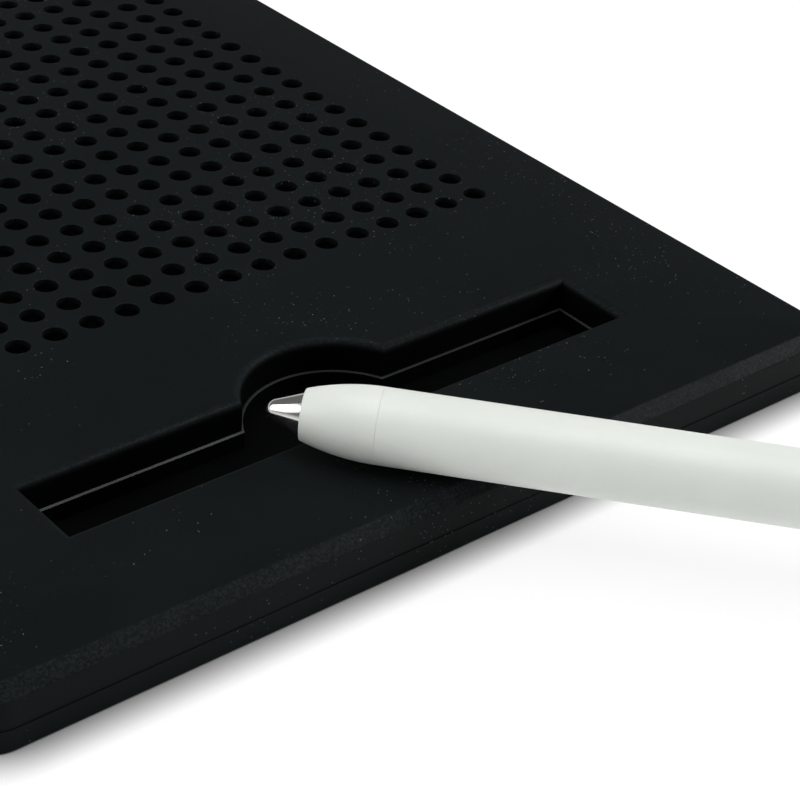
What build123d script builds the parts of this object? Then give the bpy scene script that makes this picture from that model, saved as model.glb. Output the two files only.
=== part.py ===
"""Magnetic bead drawing board with its stylus.

A flat black case holds a grid of steel beads, each in its own well under a round hole.
The magnetic stylus pulls a bead up into its hole, and a finger pushes it down again.
The stylus is stored in a long slot near the front edge, with a half-round finger notch.

Frame: millimetres, +Z up. The origin is the centre of the case's flat back face.
+Y points away from the slot, along the case's long side, and +X points right.
"""

import os
from math import sqrt

from build123d import *

# ---- driving sizes of the bead field ----
COLUMNS = 19
ROWS = 20
PITCH = 6.5
BEAD_D = 4.5
HOLE_D = 4.0            # smaller than the bead, so that it can't leave
BEAD_GAP = 0.2          # free space between a bead and its stop, up or down
WELL_GAP = 0.3          # free space between a bead and its well, all round

# ---- driving sizes of the case ----
THICKNESS = 10.0
SIDE_MARGIN = 20.0      # from the outer hole centres to the left and right sides
BACK_MARGIN = 20.0      # from the last row to the back side
FRONT_MARGIN = 66.0     # from the first row to the front side
CORNER_R = 5.5
RIM_CHAMFER = 1.9
FOOT_CHAMFER = 0.25
WALL = 2.2
TOP_PLATE = 2.0
FIELD_PLATE = 1.2       # the top plate is thinner over the bead field
BACK_PLATE = 1.6
PART_LINE_DROP = 6.2    # from the top face down to the line where the two shells meet
SEAM_CHAMFER = 0.25     # on each shell, so that the parting line is a small groove
TONGUE_WALL = 1.0
TONGUE_RISE = 1.4       # how far the back shell's tongue stands inside the front shell
TONGUE_GAP = 0.15
BASE_SHEET = 0.7
FIELD_BORDER = 2.0      # from the outer wells to the cell plate's side
FIELD_GAP = 0.3         # between the cell plate and what locates it
FENCE_WALL = 1.0
FENCE_HEIGHT = 2.0

# ---- screws ----
BOSS_D = 6.0
BOSS_INSET = 9.5        # from the case's side to a screw's axis
SCREW_D = 2.2
SCREW_LENGTH = 6.4
SCREW_HEAD_D = 4.6
SCREW_HEAD_RISE = 1.1
SCREW_SINK = 0.15       # a head lies this far inside the back face
SCREW_GAP = 0.05
RECESS_WIDTH = 0.7
RECESS_LENGTH = 2.4
RECESS_DEPTH = 0.8
PILOT_ROOM = 0.6        # empty pilot hole above a screw's end

# ---- stylus ----
STYLUS_D = 11.0
STYLUS_LENGTH = 100.0
TIP_LENGTH = 5.3
TIP_BASE_D = 6.3
TIP_DOME_R = 1.7
TIP_SHANK_D = 4.6
TIP_SHANK_LENGTH = 5.0
NOSE_FRONT_D = 7.4
NOSE_LENGTH = 10.9
NOSE_SPIGOT = 9.0
BARREL_WALL = 1.5
STYLUS_FIT = 0.05       # radial clearance of what is pushed together in the stylus
MAGNET_D = 4.4
MAGNET_LENGTH = 8.0
CAP_LENGTH = 6.5
CAP_EDGE_R = 2.2
CAP_PLUG = 5.0
CAP_NECK = 0.5          # narrow groove between barrel and cap
STYLUS_TIP_X = -17.3
STYLUS_TIP_BEYOND_SLOT = -4.2   # the tip's place in Y, from the slot's middle line
STYLUS_TURN = -49.2     # degrees from +X
REST_GAP = 0.3

# ---- slot for the stylus ----
SLOT_FIT = 0.6          # between the stylus and the trough, on each side
LEDGE = 0.4             # the trough is this much narrower than the slot above it
LEDGE_DROP = 5.5        # from the top face down to the ledge where the slot's two walls meet
SLOT_ROW_DROP = 36.9    # from the first row to the slot's middle line
NOTCH_R = 14.8
SKIRT = 1.5
SLOT_EDGE_R = 1.45

# ---- sizes and places that follow ----
FIELD_X = (COLUMNS - 1) * PITCH
FIELD_Y = (ROWS - 1) * PITCH
CASE_X = FIELD_X + 2 * SIDE_MARGIN
CASE_Y = FRONT_MARGIN + FIELD_Y + BACK_MARGIN
FIRST_ROW_Y = FRONT_MARGIN - CASE_Y / 2
FIELD_MID_Y = FIRST_ROW_Y + FIELD_Y / 2
WELL_D = BEAD_D + 2 * WELL_GAP
CELL_X = FIELD_X + WELL_D + 2 * FIELD_BORDER
CELL_Y = FIELD_Y + WELL_D + 2 * FIELD_BORDER
PART_LINE_Z = THICKNESS - PART_LINE_DROP
LEDGE_Z = THICKNESS - LEDGE_DROP
PLATE_UNDER_Z = THICKNESS - TOP_PLATE
FIELD_UNDER_Z = THICKNESS - FIELD_PLATE
SHEET_TOP_Z = BACK_PLATE + BASE_SHEET
BEAD_DOWN_Z = SHEET_TOP_Z + BEAD_GAP + BEAD_D / 2
BEAD_UP_Z = FIELD_UNDER_Z - sqrt((BEAD_D / 2 + BEAD_GAP) ** 2 - (HOLE_D / 2) ** 2)
BEAD_TRAVEL = BEAD_UP_Z - BEAD_DOWN_Z
SLOT_Y = FIRST_ROW_Y - SLOT_ROW_DROP
SLOT_LENGTH = STYLUS_LENGTH + 2 * (SLOT_FIT + LEDGE)
SLOT_WIDTH = STYLUS_D + 2 * (SLOT_FIT + LEDGE)
OVERCUT = 1.0           # how far a cutting solid reaches past what it cuts


def slab(sketch, low, high):
    """A straight prism of a sketch between two heights."""
    return extrude(Pos(0, 0, low) * sketch, high - low)


def case_outline(inset=0.0):
    """The case seen from above, moved inwards by inset."""
    return RectangleRounded(CASE_X - 2 * inset, CASE_Y - 2 * inset, CORNER_R - inset)


def ring(outer_inset, inner_inset, low, high):
    """A wall that follows the case's outline."""
    return slab(case_outline(outer_inset), low, high) - slab(
        case_outline(inner_inset), low - OVERCUT, high + OVERCUT
    )


def slot_outline(grow=0.0):
    """The stylus slot with its half-round notch on the side towards the beads."""
    bar = Rectangle(SLOT_LENGTH + 2 * grow, SLOT_WIDTH + 2 * grow)
    disc = Circle(NOTCH_R + grow)
    back_half = Pos(0, NOTCH_R) * Rectangle(4 * NOTCH_R, 2 * NOTCH_R)
    return Pos(0, SLOT_Y) * (bar + (disc & back_half))


def hole_places():
    """Centres of the holes, row by row from the slot, each row from left to right."""
    return [
        [((c - (COLUMNS - 1) / 2) * PITCH, FIRST_ROW_Y + r * PITCH) for c in range(COLUMNS)]
        for r in range(ROWS)
    ]


def screw_places():
    """Centres of the screws: three on each long side, one at the middle of each end."""
    x = CASE_X / 2 - BOSS_INSET
    y = CASE_Y / 2 - BOSS_INSET
    sides = [(sx * x, sy * y) for sx in (-1, 1) for sy in (-1, 0, 1)]
    return sides + [(0.0, -y), (0.0, y)]


def pins(places, radius, low, high):
    """One upright cylinder at each place."""
    upright = Align.CENTER, Align.CENTER, Align.MIN
    return [Pos(x, y, low) * Cylinder(radius, high - low, align=upright) for x, y in places]


def all_holes():
    return [place for row in hole_places() for place in row]


def top_edges(shape, height):
    """The edges that lie wholly at one height."""
    near = 1e-4
    return shape.edges().filter_by(
        lambda e: abs(e.bounding_box().min.Z - height) < near
        and abs(e.bounding_box().max.Z - height) < near
    )


def front_shell():
    """Top cover: perforated plate, bevelled rim, slot with its skirt, and screw bosses."""
    shell = slab(case_outline(), PART_LINE_Z, THICKNESS)
    shell = chamfer(top_edges(shell, THICKNESS), RIM_CHAMFER)
    shell = chamfer(top_edges(shell, PART_LINE_Z), SEAM_CHAMFER)
    shell -= slab(case_outline(WALL), PART_LINE_Z - OVERCUT, PLATE_UNDER_Z)
    shell += slab(slot_outline(SKIRT), LEDGE_Z, PLATE_UNDER_Z)
    shell -= slab(slot_outline(), PART_LINE_Z - OVERCUT, THICKNESS + OVERCUT)
    rim = [e for e in top_edges(shell, THICKNESS) if e.center().Y < FIRST_ROW_Y - PITCH
           and abs(e.center().X) < SLOT_LENGTH / 2 + OVERCUT
           and abs(e.center().Y - SLOT_Y) < NOTCH_R + OVERCUT]
    shell = fillet(rim, SLOT_EDGE_R)
    shell += pins(screw_places(), BOSS_D / 2, BACK_PLATE, PLATE_UNDER_Z + OVERCUT / 2)
    pilot_top = SCREW_SINK + SCREW_LENGTH + PILOT_ROOM
    shell -= pins(screw_places(), SCREW_D / 2 + SCREW_GAP, BACK_PLATE - OVERCUT, pilot_top)
    pocket = Pos(0, FIELD_MID_Y) * Rectangle(CELL_X + 2 * FIELD_GAP, CELL_Y + 2 * FIELD_GAP)
    shell -= slab(pocket, PLATE_UNDER_Z - OVERCUT, FIELD_UNDER_Z)
    shell -= pins(all_holes(), HOLE_D / 2, FIELD_UNDER_Z - OVERCUT, THICKNESS + OVERCUT)
    return shell


def back_shell():
    """Back cover: flat plate, low wall with a tongue, the slot's trough and a locating fence."""
    shell = slab(case_outline(), 0, PART_LINE_Z)
    shell = chamfer(top_edges(shell, 0), FOOT_CHAMFER)
    shell = chamfer(top_edges(shell, PART_LINE_Z), SEAM_CHAMFER)
    shell -= slab(case_outline(WALL), BACK_PLATE, PART_LINE_Z + OVERCUT)
    tongue_out = WALL + TONGUE_GAP
    tongue = ring(tongue_out, tongue_out + TONGUE_WALL, BACK_PLATE, PART_LINE_Z + TONGUE_RISE)
    foot = ring(WALL, tongue_out + TONGUE_WALL, BACK_PLATE, PART_LINE_Z - SEAM_CHAMFER)
    shell += [tongue, foot]
    shell += slab(slot_outline(SKIRT), BACK_PLATE, LEDGE_Z)
    shell -= slab(slot_outline(-LEDGE), BACK_PLATE, LEDGE_Z + OVERCUT)
    inner = Rectangle(CELL_X + 2 * FIELD_GAP, CELL_Y + 2 * FIELD_GAP)
    thick = 2 * (FIELD_GAP + FENCE_WALL)
    fence = Rectangle(CELL_X + thick, CELL_Y + thick) - inner
    shell += slab(Pos(0, FIELD_MID_Y) * fence, BACK_PLATE, BACK_PLATE + FENCE_HEIGHT)
    upright = Align.CENTER, Align.CENTER, Align.MIN
    head_r = SCREW_HEAD_D / 2 + SCREW_GAP
    neck_r = SCREW_D / 2 + SCREW_GAP
    for x, y in screw_places():
        sink = Pos(x, y, SCREW_SINK) * Cone(head_r, neck_r, SCREW_HEAD_RISE, align=upright)
        mouth = Pos(x, y, -OVERCUT) * Cylinder(head_r, OVERCUT + SCREW_SINK, align=upright)
        bore = Pos(x, y, 0) * Cylinder(neck_r, BACK_PLATE + OVERCUT / 2, align=upright)
        shell -= [sink, mouth, bore]
    return shell


def cell_plate():
    """The plate of wells that the beads travel in."""
    plate = slab(Pos(0, FIELD_MID_Y) * Rectangle(CELL_X, CELL_Y), SHEET_TOP_Z, FIELD_UNDER_Z)
    return plate - pins(all_holes(), WELL_D / 2, SHEET_TOP_Z - OVERCUT, FIELD_UNDER_Z + OVERCUT)


def base_sheet():
    """Thin sheet under the wells that the resting beads lie on."""
    return slab(Pos(0, FIELD_MID_Y) * Rectangle(CELL_X, CELL_Y), BACK_PLATE, SHEET_TOP_Z)


def bead_row(places):
    """The beads of one row, all down."""
    return Compound(children=[Pos(x, y, BEAD_DOWN_Z) * Sphere(BEAD_D / 2) for x, y in places])


def screw():
    """Countersunk self-tapping screw with a cross recess, its head's face at height 0."""
    upright = Align.CENTER, Align.CENTER, Align.MIN
    head = Cone(SCREW_HEAD_D / 2, SCREW_D / 2, SCREW_HEAD_RISE, align=upright)
    point = SCREW_D / 2
    shank = Pos(0, 0, SCREW_HEAD_RISE) * Cylinder(
        SCREW_D / 2, SCREW_LENGTH - SCREW_HEAD_RISE - point, align=upright
    )
    end = Pos(0, 0, SCREW_LENGTH - point) * Cone(SCREW_D / 2, SCREW_D / 8, point, align=upright)
    low = Align.CENTER, Align.CENTER, Align.CENTER
    cross = [
        Box(RECESS_LENGTH, RECESS_WIDTH, 2 * RECESS_DEPTH, align=low),
        Box(RECESS_WIDTH, RECESS_LENGTH, 2 * RECESS_DEPTH, align=low),
    ]
    return head + shank + end - cross


def case_screws():
    one = screw()
    return Compound(children=[Pos(x, y, SCREW_SINK) * one for x, y in screw_places()])


# ---- stylus, turned about its own axis: s runs from the tip to the far end ----
NOSE_END = TIP_LENGTH + NOSE_LENGTH
BORE_R = STYLUS_D / 2 - BARREL_WALL
CAP_START = STYLUS_LENGTH - CAP_LENGTH


def turned(*lines):
    """A solid of revolution about the stylus's axis, from the lines of half its section."""
    return revolve(make_face(Curve() + list(lines)), axis=Axis.X)


def stylus_tip():
    """Plated cone with a domed end and a shank that fits into the nose."""
    base_r, shank_r = TIP_BASE_D / 2, TIP_SHANK_D / 2
    # The dome meets the cone where both slope alike.
    run = TIP_LENGTH - TIP_DOME_R
    reach = sqrt(run**2 + base_r**2)
    slope_sin = (base_r * sqrt(reach**2 - TIP_DOME_R**2) - run * TIP_DOME_R) / reach**2
    slope_cos = sqrt(1 - slope_sin**2)
    meet = (TIP_DOME_R * (1 - slope_sin), TIP_DOME_R * slope_cos)
    halfway = sqrt((1 - slope_sin) / 2)
    crown = (TIP_DOME_R * (1 - sqrt(1 - halfway**2)), TIP_DOME_R * halfway)
    end = TIP_LENGTH + TIP_SHANK_LENGTH
    return turned(
        ThreePointArc((0, 0), crown, meet),
        Polyline(meet, (TIP_LENGTH, base_r), (TIP_LENGTH, shank_r), (end, shank_r), (end, 0), (0, 0)),
    )


def stylus_nose():
    """Tapered collar between tip and barrel, with a spigot that plugs into the barrel."""
    front_r, back_r = NOSE_FRONT_D / 2, STYLUS_D / 2
    rise = back_r - front_r
    arc_r = (NOSE_LENGTH**2 + rise**2) / (2 * rise)
    half = NOSE_LENGTH / 2
    middle = (NOSE_END - half, back_r - arc_r + sqrt(arc_r**2 - half**2))
    shank_r = TIP_SHANK_D / 2 + STYLUS_FIT
    magnet_r = MAGNET_D / 2 + STYLUS_FIT
    spigot_r = BORE_R - STYLUS_FIT
    seat = TIP_LENGTH + TIP_SHANK_LENGTH
    end = NOSE_END + NOSE_SPIGOT
    return turned(
        Line((TIP_LENGTH, shank_r), (TIP_LENGTH, front_r)),
        ThreePointArc((TIP_LENGTH, front_r), middle, (NOSE_END, back_r)),
        Polyline(
            (NOSE_END, back_r), (NOSE_END, spigot_r), (end, spigot_r), (end, magnet_r),
            (seat, magnet_r), (seat, shank_r), (TIP_LENGTH, shank_r),
        ),
    )


def stylus_magnet():
    """Rod magnet behind the tip's shank."""
    start = TIP_LENGTH + TIP_SHANK_LENGTH
    end = start + MAGNET_LENGTH
    r = MAGNET_D / 2
    return turned(Polyline((start, 0), (start, r), (end, r), (end, 0), (start, 0)))


def stylus_barrel():
    """Plain tube that the hand holds."""
    r = STYLUS_D / 2
    return turned(
        Polyline((NOSE_END, BORE_R), (NOSE_END, r), (CAP_START, r), (CAP_START, BORE_R), (NOSE_END, BORE_R))
    )


def stylus_end_cap():
    """Rounded plug that closes the barrel's far end."""
    r = STYLUS_D / 2
    neck_r = r - CAP_NECK
    plug_r = BORE_R - STYLUS_FIT
    bend = CAP_EDGE_R * (1 - sqrt(0.5))
    return turned(
        Polyline(
            (CAP_START - CAP_PLUG, 0), (CAP_START - CAP_PLUG, plug_r), (CAP_START, plug_r),
            (CAP_START, neck_r), (CAP_START + CAP_NECK, neck_r), (CAP_START + CAP_NECK, r),
            (STYLUS_LENGTH - CAP_EDGE_R, r),
        ),
        ThreePointArc(
            (STYLUS_LENGTH - CAP_EDGE_R, r), (STYLUS_LENGTH - bend, r - bend),
            (STYLUS_LENGTH, r - CAP_EDGE_R),
        ),
        Polyline((STYLUS_LENGTH, r - CAP_EDGE_R), (STYLUS_LENGTH, 0), (CAP_START - CAP_PLUG, 0)),
    )


def laid_down(piece):
    """A stylus piece, lying on the case with the tip over the slot."""
    height = THICKNESS + REST_GAP + STYLUS_D / 2
    place = Pos(STYLUS_TIP_X, SLOT_Y + STYLUS_TIP_BEYOND_SLOT, height)
    return place * Rot(0, 0, STYLUS_TURN) * piece


def main():
    pieces = {
        "top_cover": front_shell(),
        "back_cover": back_shell(),
        "cell_plate": cell_plate(),
        "base_sheet": base_sheet(),
        "case_screws": case_screws(),
        "stylus_tip": laid_down(stylus_tip()),
        "stylus_nose": laid_down(stylus_nose()),
        "stylus_magnet": laid_down(stylus_magnet()),
        "stylus_barrel": laid_down(stylus_barrel()),
        "stylus_end_cap": laid_down(stylus_end_cap()),
    }
    for number, places in enumerate(hole_places(), start=1):
        pieces[f"bead_row_{number:02d}"] = bead_row(places)
    os.makedirs("parts", exist_ok=True)
    for name, piece in pieces.items():
        export_step(piece, f"parts/{name}.step")
    print("case", CASE_X, "x", CASE_Y, "x", THICKNESS, "mm, bead travel", round(BEAD_TRAVEL, 3))


main()
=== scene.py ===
# %% [markdown]
# A magnetic bead drawing board with its stylus.
#
# The board is a flat black case of two shells. Its upper shell is a plate with a square grid of holes,
# and a steel bead waits in a well under each hole. The white stylus has a magnet in its nose, pulls the
# beads up, and is stored in the long slot. Here it lies across the board with its tip over the slot.
#
# The bead grid and the case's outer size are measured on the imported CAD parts, and the other sizes
# repeat the part's own. This file builds finer surfaces in their place, as arrays of points worked out
# with numpy, and gives each surface a procedural finish.

import bpy
import numpy as np
from mathutils import Matrix, Vector
from mathutils.geometry import delaunay_2d_cdt


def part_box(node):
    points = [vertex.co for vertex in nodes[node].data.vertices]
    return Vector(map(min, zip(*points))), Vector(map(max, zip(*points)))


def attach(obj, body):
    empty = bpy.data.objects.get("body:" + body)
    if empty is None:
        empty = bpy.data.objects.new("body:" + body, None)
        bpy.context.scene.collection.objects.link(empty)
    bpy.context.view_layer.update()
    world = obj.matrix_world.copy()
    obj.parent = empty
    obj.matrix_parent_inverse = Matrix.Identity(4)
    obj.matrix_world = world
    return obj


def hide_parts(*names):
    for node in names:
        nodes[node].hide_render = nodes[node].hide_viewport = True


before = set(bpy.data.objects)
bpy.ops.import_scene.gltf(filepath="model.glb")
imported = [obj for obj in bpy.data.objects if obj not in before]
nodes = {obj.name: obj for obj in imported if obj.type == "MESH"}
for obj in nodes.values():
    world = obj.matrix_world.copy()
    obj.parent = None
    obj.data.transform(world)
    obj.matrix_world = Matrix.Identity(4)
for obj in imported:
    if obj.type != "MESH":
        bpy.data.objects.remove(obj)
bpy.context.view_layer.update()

# %% [markdown]
# Sizes. The frame is in metres, so lengths that are easier to read in millimetres are multiplied by MM.
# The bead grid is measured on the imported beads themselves: the first and last rows give the pitch, the
# bead's size and the middle of the field. The rest are the case's own sizes.

# %% Sizes of the case
MM = 0.001
ROWS = 20
COLUMNS = 19

first_low, first_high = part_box("bead_row_01")
last_low, last_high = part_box(f"bead_row_{ROWS:02d}")
BEAD_R = (first_high.z - first_low.z) / 2
FIRST_ROW_Y = (first_low.y + first_high.y) / 2
LAST_ROW_Y = (last_low.y + last_high.y) / 2
PITCH = (LAST_ROW_Y - FIRST_ROW_Y) / (ROWS - 1)
HOLE_R = 2.0 * MM
LIP = 0.14 * MM            # width and depth of the slope that breaks a hole's upper edge

case_low, case_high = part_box("top_cover")
TOP_Z = case_high.z
CASE_X = case_high.x - case_low.x
CASE_Y = case_high.y - case_low.y
CORNER_R = 5.5 * MM
BEVEL = 1.9 * MM           # width of the sloping rim
BEVEL_R = 0.25 * MM        # softening of the bevel's two edges
PLATE_UNDER_Z = TOP_Z - 2.0 * MM
FIELD_UNDER_Z = TOP_Z - 1.2 * MM
SEAM_Z = 3.8 * MM
SEAM_CUT = 0.25 * MM
WALL = 2.2 * MM
FLOOR_Z = 1.6 * MM
FOOT_CUT = 0.25 * MM
SOFT_EDGE = 0.12 * MM      # softening of the ledge's edge and of the stylus's edges
TONGUE_OUT = 2.35 * MM
TONGUE_IN = 3.35 * MM
TONGUE_TOP_Z = 5.2 * MM

SLOT_Y = FIRST_ROW_Y - 36.9 * MM
SLOT_LENGTH = 102.0 * MM
SLOT_WIDTH = 13.0 * MM
NOTCH_R = 14.8 * MM
SLOT_EDGE_R = 1.45 * MM
SKIRT = 1.5 * MM
LEDGE = 0.4 * MM
LEDGE_Z = TOP_Z - 5.5 * MM
GROOVE = 0.13 * MM         # depth of the dark parting groove

POCKET_X = 63.35 * MM      # half sizes of the pocket under the bead field
POCKET_Y = 66.6 * MM
FENCE = 1.0 * MM
FENCE_TOP_Z = 3.6 * MM
BOSS_INSET = 9.5 * MM
BOSS_R = 3.0 * MM
BORE_R = 1.15 * MM
BORE_END_Z = 7.15 * MM
SINK_R = 2.35 * MM
SINK_START_Z = 0.15 * MM   # a screw's sink narrows from this height
SINK_END_Z = 1.25 * MM     # to the bore at this one
FIELD_MID_Y = (FIRST_ROW_Y + LAST_ROW_Y) / 2
print(f"case {CASE_X / MM:.1f} x {CASE_Y / MM:.1f} x {TOP_Z / MM:.1f} mm, pitch {PITCH / MM:.2f} mm")

# %% [markdown]
# The camera. It stands in front of the board's left corner and looks down over the slot towards the far
# right. A long lens keeps the rows of holes nearly parallel. Its turn is worked out
# from the place, the point it looks at and a small roll, instead of being typed in as angles, so each
# number has a meaning.

# %% Camera
CAMERA_PLACE = Vector((-0.173095, -0.278906, 0.182543))
CAMERA_AIM = Vector((0.005806, -0.082004, 0.01))
CAMERA_ROLL = np.radians(4.638)
CAMERA_LENS = 97.33

camera_data = bpy.data.cameras.new("camera")
camera_data.lens = CAMERA_LENS
camera_data.sensor_width = 36.0
camera_data.clip_start = 0.01
camera = bpy.data.objects.new("camera", camera_data)
bpy.context.scene.collection.objects.link(camera)
look = (CAMERA_AIM - CAMERA_PLACE).to_track_quat("-Z", "Y").to_matrix().to_4x4()
camera.matrix_world = Matrix.Translation(CAMERA_PLACE) @ look @ Matrix.Rotation(CAMERA_ROLL, 4, "Z")
bpy.context.scene.camera = camera
print("camera is", round((CAMERA_AIM - CAMERA_PLACE).length, 3), "m from the point it looks at")

# %% [markdown]
# Meshes from arrays. Every piece is made of patches. A patch is an array of points and a list of face
# arrays that index into it. Patches share their edge points, so they are joined and welded at the end
# into one closed surface.

# %% Patches
WELD = 0.001 * MM          # points this close to each other become one
CASE_CREASE = 40.0         # degrees; sharper edges of the case are shaded as edges


def grid_patch(points):
    """Quads between neighbouring rows and columns of a (rows, columns, 3) grid, whose last column is
    joined to its first."""
    rows, columns = points.shape[:2]
    index = np.arange(rows * columns).reshape(rows, columns)
    index = np.hstack([index, index[:, :1]])
    quads = np.stack([index[:-1, :-1], index[:-1, 1:], index[1:, 1:], index[1:, :-1]], axis=-1)
    return points.reshape(-1, 3), [quads.reshape(-1, 4)]


def joined(patches):
    """All patches as one: their points stacked, and each patch's face indices moved up by the number of
    points before it."""
    starts = np.cumsum([0] + [len(points) for points, _ in patches])
    faces = [f + start for (_, group), start in zip(patches, starts) for f in group]
    return np.concatenate([points for points, _ in patches]), faces


def welded(points, faces):
    """Points that fall into the same cell of a fine lattice become one point, and faces follow.
    A quad with two equal corners becomes a triangle, and a smaller face is dropped."""
    cell = np.round(points / WELD).astype(np.int64)
    _, first, inverse = np.unique(cell, axis=0, return_index=True, return_inverse=True)
    inverse = inverse.reshape(-1)
    kept = []
    for group in faces:
        group = inverse[group]
        same = group == np.roll(group, -1, axis=1)
        kept.append(group[~same.any(axis=1)])
        if group.shape[1] == 4:
            for corner in range(4):
                thin = (same.sum(axis=1) == 1) & same[:, corner]
                kept.append(np.delete(group[thin], corner, axis=1))
    return points[first], [group for group in kept if len(group)]


def make_piece(name, patches, body, replaced, crease=CASE_CREASE):
    """Writes the joined patches into a mesh, smooth except along edges sharper than crease degrees,
    hangs it on a CAD body, and puts it in place of the replaced nodes."""
    points, faces = welded(*joined(patches))
    mesh = bpy.data.meshes.new(name)
    corners = np.concatenate([group.ravel() for group in faces]).astype(np.int32)
    sizes = np.concatenate([np.full(len(group), group.shape[1]) for group in faces])
    mesh.vertices.add(len(points))
    mesh.vertices.foreach_set("co", points.astype(np.float32).ravel())
    mesh.loops.add(len(corners))
    mesh.loops.foreach_set("vertex_index", corners)
    mesh.polygons.add(len(sizes))
    mesh.polygons.foreach_set("loop_start", np.concatenate([[0], np.cumsum(sizes)[:-1]]).astype(np.int32))
    mesh.update(calc_edges=True)
    mesh.validate()
    mesh.polygons.foreach_set("use_smooth", np.ones(len(mesh.polygons), bool))
    mesh.set_sharp_from_angle(angle=np.radians(crease))
    piece = bpy.data.objects.new(name, mesh)
    bpy.context.scene.collection.objects.link(piece)
    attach(piece, body)
    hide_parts(*replaced)
    triangles = sum((group.shape[1] - 2) * len(group) for group in faces)
    print(f"{name}: {len(points)} points, {triangles} triangles")
    return piece


# %% [markdown]
# Outlines. The case, the slot and the pocket are all closed lines seen from above. Each is a function of
# one number, how far it is grown outwards, and gives the same count of points whatever that number is.
# So two outlines of one family can be joined point by point, and a profile can be carried round them.
# All run anticlockwise.

# %% Outlines
CORNER_STEPS = 16
NOTCH_STEPS = 56
CIRCLE_STEPS = 32


def case_outline(grow):
    """A rounded rectangle: four quarter circles about fixed centres, each CORNER_R plus grow in radius."""
    angle = np.linspace(0, np.pi / 2, CORNER_STEPS + 1)[None, :] + np.arange(4)[:, None] * np.pi / 2
    side_x = np.array([1, -1, -1, 1])[:, None] * (CASE_X / 2 - CORNER_R)
    side_y = np.array([1, 1, -1, -1])[:, None] * (CASE_Y / 2 - CORNER_R)
    x = side_x + (CORNER_R + grow) * np.cos(angle)
    y = side_y + (CORNER_R + grow) * np.sin(angle)
    return np.stack([x.ravel(), y.ravel()], axis=1)


def pocket_outline(grow):
    """A plain rectangle, four points."""
    x = (POCKET_X + grow) * np.array([1, -1, -1, 1])
    y = (POCKET_Y + grow) * np.array([1, 1, -1, -1])
    return np.stack([x, y + FIELD_MID_Y], axis=1)


def slot_outline(grow):
    """A rectangle whose upper side is broken by an arc about the slot's middle. The arc ends where its
    circle crosses the grown upper side, at a height h above its centre: half its chord is then the
    square root of radius squared minus h squared."""
    half_x = SLOT_LENGTH / 2 + grow
    half_y = SLOT_WIDTH / 2 + grow
    radius = NOTCH_R + grow
    start = np.arcsin(half_y / radius)
    angle = np.linspace(start, np.pi - start, NOTCH_STEPS + 1)
    arc = radius * np.stack([np.cos(angle), np.sin(angle)], axis=1)
    corners = np.array([[-half_x, half_y], [-half_x, -half_y], [half_x, -half_y], [half_x, half_y]])
    return np.vstack([arc, corners]) + [0, SLOT_Y]


def circle_outline(centre, radius):
    angle = np.arange(CIRCLE_STEPS) * 2 * np.pi / CIRCLE_STEPS
    return np.array(centre) + radius * np.stack([np.cos(angle), np.sin(angle)], axis=1)


def carried(profile, outline):
    """Carries a profile round an outline. The profile is a list of (grow, z) pairs, and each pair gives
    one row of the grid: the outline grown by that much, at that height."""
    flat = np.stack([outline(grow) for grow, _ in profile])
    height = np.array([z for _, z in profile])[:, None]
    return grid_patch(np.dstack([flat, np.broadcast_to(height, flat.shape[:2])]))


# %% [markdown]
# Flat faces between outlines. The top of the case is a plane with a rectangle cut out for the bead field
# and a notched one for the slot. Blender's constrained Delaunay fill gives its triangles, and those whose
# middle lies in a hole are dropped: a middle is on the plate when a line from it to one side crosses
# the outlines an odd number of times.


# %% Flat fill
def flat_patch(loops, z, up=True):
    """Triangles of the plane at height z between closed loops, facing up or down."""
    points = np.vstack(loops)
    starts = np.cumsum([0] + [len(loop) for loop in loops])
    edges = np.vstack([
        np.stack([np.arange(a, b), np.r_[np.arange(a + 1, b), a]], axis=1)
        for a, b in zip(starts[:-1], starts[1:])
    ])
    filled = delaunay_2d_cdt([Vector(p) for p in points.tolist()], edges.tolist(), [], 0, 1e-9, True)
    source = np.array([ids[0] if ids else -1 for ids in filled[3]])
    triangles = source[np.array(filled[2])]
    triangles = triangles[(triangles >= 0).all(axis=1)]
    corner = points[triangles]
    middle = corner.mean(axis=1)
    low, high = points[edges[:, 0]], points[edges[:, 1]]
    spans = (low[:, 1] > middle[:, None, 1]) != (high[:, 1] > middle[:, None, 1])
    rise = np.where(high[:, 1] == low[:, 1], 1.0, high[:, 1] - low[:, 1])
    meet_x = low[:, 0] + (middle[:, None, 1] - low[:, 1]) * (high[:, 0] - low[:, 0]) / rise
    inside = (spans & (meet_x > middle[:, None, 0])).sum(axis=1) % 2 == 1
    triangles, corner = triangles[inside], corner[inside]
    side_a, side_b = corner[:, 1] - corner[:, 0], corner[:, 2] - corner[:, 0]
    turn = side_a[:, 0] * side_b[:, 1] - side_a[:, 1] * side_b[:, 0]
    clockwise = (turn < 0) == up
    triangles[clockwise] = triangles[clockwise][:, ::-1]
    return np.column_stack([points, np.full(len(points), z)]), [triangles]


# %% [markdown]
# The bead field. On the real plate each hole's upper edge is slightly broken, and that thin bright rim
# is what makes a row of holes look moulded. A boolean cut of 380 cylinders is slow and leaves long thin
# faces, so each hole is a small square tile instead: a square ring on top, the lip, the wall and a
# square ring underneath. Neighbouring tiles share their border points and weld into one plate.

# %% Bead field
TILE_STEPS = 24


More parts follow.
